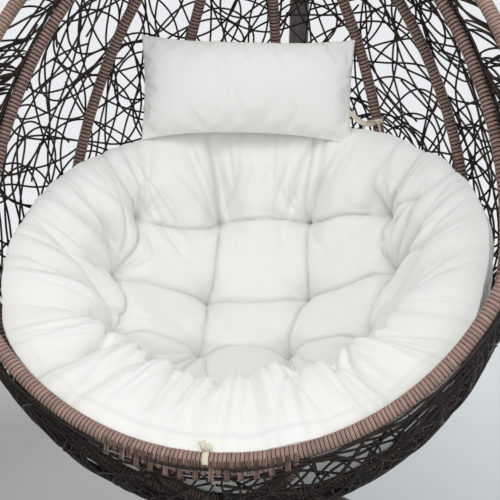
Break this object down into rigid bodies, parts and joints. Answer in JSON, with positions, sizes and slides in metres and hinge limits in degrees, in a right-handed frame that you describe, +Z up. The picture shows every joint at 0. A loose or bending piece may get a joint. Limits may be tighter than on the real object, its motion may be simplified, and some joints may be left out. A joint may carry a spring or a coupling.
{
  "type": "hanging egg chair",
  "caption": "Egg-shaped wicker chair with a tufted white seat cushion and a head pillow, hung by a spring and a swivel from a curved post on a round floor frame.",
  "frame": {"origin": "on the floor, under the middle of the whole chair's bounding box", "axes": "+Z up, -Y out of the basket's opening, +X to the right of someone who looks at the opening"},
  "size_m": [1.0512, 1.2834, 1.979],
  "materials": {
    "painted_steel": "satin",
    "zinc_steel": "satin",
    "brass": "satin",
    "dark_rattan": "matte",
    "brown_rattan": "satin",
    "white_cloth": "matte",
    "beige_tape": "matte",
    "black_rubber": "matte",
    "black_plastic": "matte"
  },
  "bodies": {
    "stand": {"base_ring_front": "painted_steel", "base_ring_rear": "painted_steel", "base_brace_left": "painted_steel", "base_brace_right": "painted_steel", "post_socket": "painted_steel", "post_lower": "painted_steel", "post_upper": "painted_steel", "hanger_eye": "painted_steel", "base_ring_spigots": "zinc_steel", "post_sleeve": "zinc_steel", "stand_bolts": "zinc_steel", "stand_nuts": "zinc_steel", "foot_pads": "black_rubber", "arm_cap": "black_plastic"},
    "shackle": {"shackle_bow": "zinc_steel", "shackle_pin": "zinc_steel", "shackle_nut": "zinc_steel"},
    "swivel_upper": {"swivel_head": "zinc_steel"},
    "swivel_lower": {"swivel_stem": "zinc_steel", "swivel_washer": "brass", "spring": "zinc_steel"},
    "link": {"snap_hook": "zinc_steel", "gate_pin": "brass"},
    "gate": {"snap_gate": "zinc_steel"},
    "basket": {"crown_ring": "zinc_steel", "crown_hub": "painted_steel", "foot_hub": "painted_steel", "rim_hoop": "painted_steel", "rib_1": "painted_steel", "rib_2": "painted_steel", "rib_3": "painted_steel", "rib_4": "painted_steel", "rib_5": "painted_steel", "rib_6": "painted_steel", "rib_7": "painted_steel", "front_struts": "painted_steel", "hoop_wrap": "brown_rattan", "rib_wraps": "brown_rattan", "weave_back_1": "dark_rattan", "weave_back_2": "dark_rattan", "weave_back_3": "dark_rattan", "weave_back_4": "dark_rattan", "weave_back_5": "dark_rattan", "weave_back_6": "dark_rattan", "weave_front_left": "dark_rattan", "weave_front_right": "dark_rattan", "seat_cushion": "white_cloth", "head_pillow": "white_cloth", "seat_tie": "beige_tape", "pillow_ties": "beige_tape"}
  },
  "joints": [
    {"name": "swing_fore_aft", "type": "hinge", "parent": "stand", "child": "shackle", "pos_m": [0, -0.12276, 1.85438], "axis": [-1, 0, 0], "range_deg": [-7, 10]},
    {"name": "swing_sideways", "type": "hinge", "parent": "shackle", "child": "swivel_upper", "pos_m": [0, -0.12276, 1.81438], "axis": [0, 1, 0], "range_deg": [-8, 8]},
    {"name": "swivel", "type": "hinge", "parent": "swivel_upper", "child": "swivel_lower", "pos_m": [0, -0.12276, 1.79088], "axis": [0, 0, 1], "continuous": true},
    {"name": "spring_stretch", "type": "slide", "parent": "swivel_lower", "child": "link", "axis": [0, 0, -1], "range_m": [0, 0.06], "stiffness_N_per_m": 9000, "springref_m": -0.08, "deforming": ["spring"]},
    {"name": "gate_open", "type": "hinge", "parent": "link", "child": "gate", "pos_m": [0.015, -0.12276, 1.55118], "axis": [0, -1, 0], "range_deg": [0, 20], "stiffness_Nm_per_rad": 0.05, "springref_deg": -20.05},
    {"name": "basket_tilt", "type": "hinge", "parent": "link", "child": "basket", "pos_m": [0, -0.12276, 1.53168], "axis": [-1, 0, 0], "range_deg": [-6, 6]}
  ]
}
